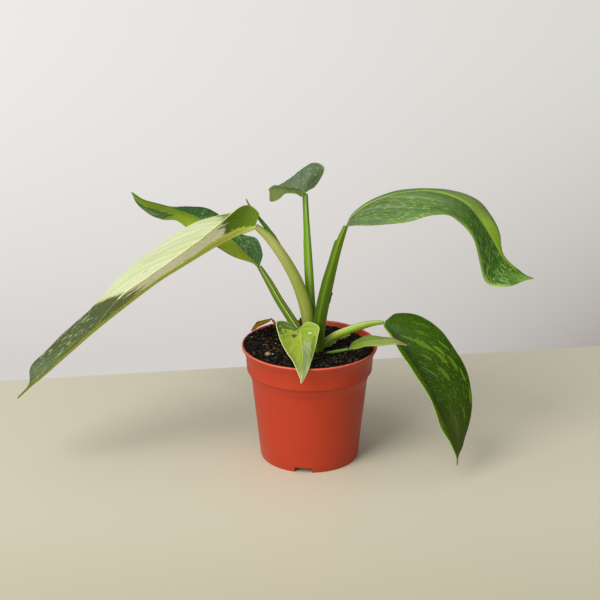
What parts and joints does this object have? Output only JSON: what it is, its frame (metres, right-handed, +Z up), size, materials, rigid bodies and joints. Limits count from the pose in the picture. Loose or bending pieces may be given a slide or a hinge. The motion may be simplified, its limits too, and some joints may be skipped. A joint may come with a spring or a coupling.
{
  "type": "potted philodendron plant",
  "caption": "Variegated philodendron with long arching leaves on stalks from one crown, in soil in a small round plastic nursery pot.",
  "frame": {"origin": "centre of the pot's base, on the surface it stands on", "axes": "+X along the plant's width from the long pale leaf to the arching leaf, +Y from the front to the back, +Z up"},
  "size_m": [0.3938, 0.1551, 0.2258],
  "materials": {
    "pot_plastic": "thin moulded plastic, terracotta orange-red, soft satin sheen",
    "soil": "moist dark peat soil, fibrous and crumbly",
    "stem": "short green-brown stem and pale roots",
    "pale_stalk": "pale yellow-green stalk, smooth, fine lengthwise lines",
    "stalk": "fresh green stalk, smooth with a soft sheen and paler streaks",
    "cream_leaf": "variegated leaf, cream-white with a green base and a dark speckled end",
    "green_leaf": "variegated leaf, deep green with lime and grey-green streaks, soft waxy sheen",
    "lime_leaf": "young leaf, yellow-green with pale margins",
    "dry_leaf": "dead dry leaf and sheath, yellow to dark brown",
    "bark": "small chip of pale bark",
    "perlite": "white porous grain"
  },
  "bodies": {
    "root": {"nursery_pot": "pot_plastic", "potting_soil": "soil", "stem_and_roots": "stem", "stalk_left_long": "pale_stalk", "blade_left_long": "cream_leaf", "sheath_tongue": "stalk", "stalk_left_back": "stalk", "blade_left_back": "green_leaf", "stalk_centre": "stalk", "blade_centre": "green_leaf", "stalk_right_arch": "stalk", "blade_right_arch": "green_leaf", "dry_sheath": "dry_leaf", "stalk_right_low": "stalk", "blade_right_low": "green_leaf", "stalk_front_small": "stalk", "blade_front_small": "lime_leaf", "stalk_right_small": "stalk", "blade_right_small": "lime_leaf", "withered_stalk": "dry_leaf", "withered_leaf": "dry_leaf", "dead_stub": "dry_leaf", "bark_chip": "bark", "perlite_grain_left": "perlite", "perlite_grain_front": "perlite"}
  },
  "joints": []
}
